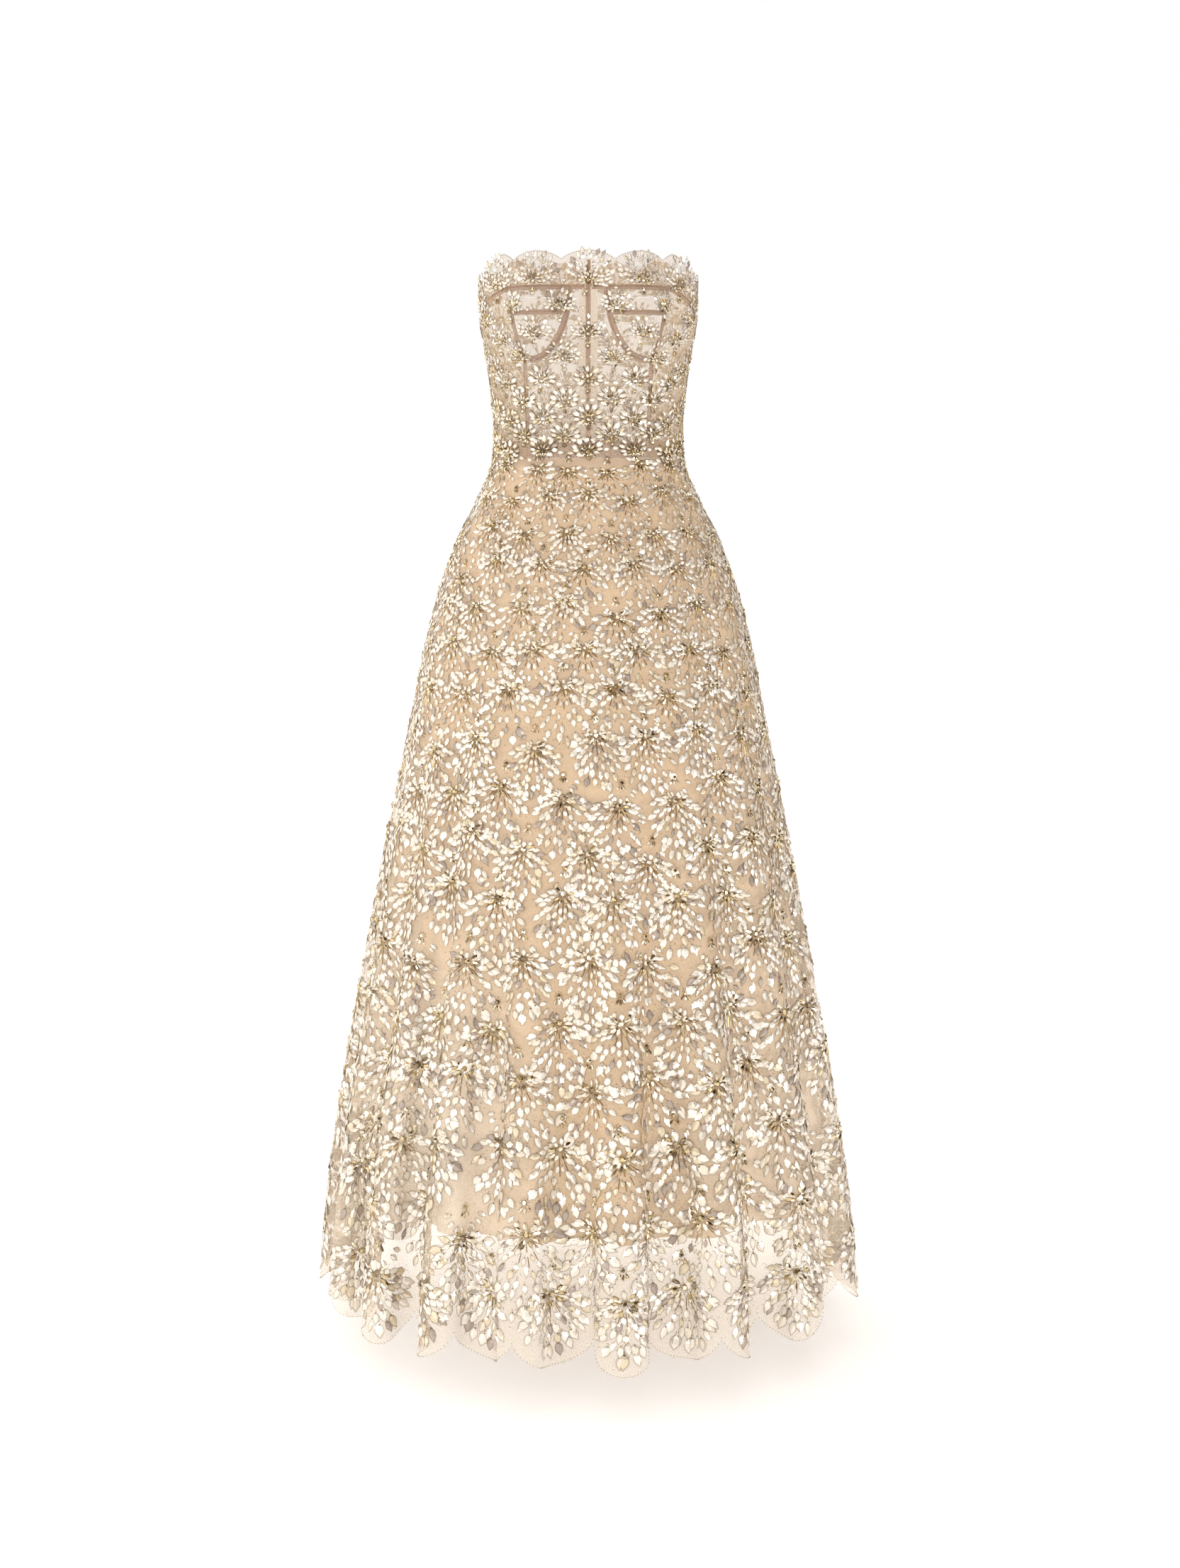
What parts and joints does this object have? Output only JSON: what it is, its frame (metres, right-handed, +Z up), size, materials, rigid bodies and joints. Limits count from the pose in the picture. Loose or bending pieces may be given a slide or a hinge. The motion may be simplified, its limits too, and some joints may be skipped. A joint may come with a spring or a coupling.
{
  "type": "strapless embroidered evening gown",
  "caption": "Strapless floor-length gown of sheer net with sequin fans, a cupped boned bodice, a scalloped A-line skirt and a shorter nude lining, in its hollow worn shape.",
  "frame": {"origin": "middle of the body at the waist seam, where the wearer holds the gown", "axes": "+Z up; the front faces -Y; +X is to the right of someone who looks at the front"},
  "size_m": [0.6955, 0.6464, 1.3135],
  "materials": {
    "embroidered_net": "sheer net with sequins, crystals and beads",
    "sheer_net": "sheer net with sequins and crystals",
    "side_mesh": "sheer net over pale mesh",
    "nude_lining": "matt nude lining",
    "casing_ribbon": "matt ribbon",
    "zip_tape": "woven tape",
    "zip_metal": "enamelled"
  },
  "bodies": {
    "gown": {"neckline_band_front_left": "sheer_net", "neckline_band_front_right": "sheer_net", "neckline_band_back_left": "sheer_net", "neckline_band_back_right": "sheer_net", "bodice_centre_front_left": "sheer_net", "bodice_centre_front_right": "sheer_net", "bodice_lower_cup_left": "sheer_net", "bodice_lower_cup_right": "sheer_net", "bodice_upper_cup_left": "sheer_net", "bodice_upper_cup_right": "sheer_net", "bodice_side_front_left": "side_mesh", "bodice_side_front_right": "side_mesh", "bodice_side_back_left": "side_mesh", "bodice_side_back_right": "side_mesh", "bodice_back_left": "side_mesh", "bodice_back_right": "side_mesh", "casing_princess_left": "casing_ribbon", "casing_princess_right": "casing_ribbon", "casing_wire_left": "casing_ribbon", "casing_wire_right": "casing_ribbon", "tape_upper_cup_left": "casing_ribbon", "tape_upper_cup_right": "casing_ribbon", "tape_neckline_left": "casing_ribbon", "tape_neckline_right": "casing_ribbon", "casing_centre_front": "casing_ribbon", "waistband": "casing_ribbon", "skirt_net_front": "embroidered_net", "skirt_lining_front": "nude_lining", "skirt_net_back_left": "embroidered_net", "skirt_lining_back_left": "nude_lining", "skirt_net_back_right": "embroidered_net", "skirt_lining_back_right": "nude_lining", "zip_tape_left": "zip_tape", "zip_tape_right": "zip_tape", "zip_coil": "zip_tape", "zip_slider": "zip_metal"},
    "zip_pull": {"zip_pull": "zip_metal"}
  },
  "joints": [
    {"name": "zip_pull_hinge", "type": "hinge", "parent": "gown", "child": "zip_pull", "pos_m": [0, 0.10469, 0.2296], "axis": [1, 0, 0], "range_deg": [0, 150]}
  ]
}
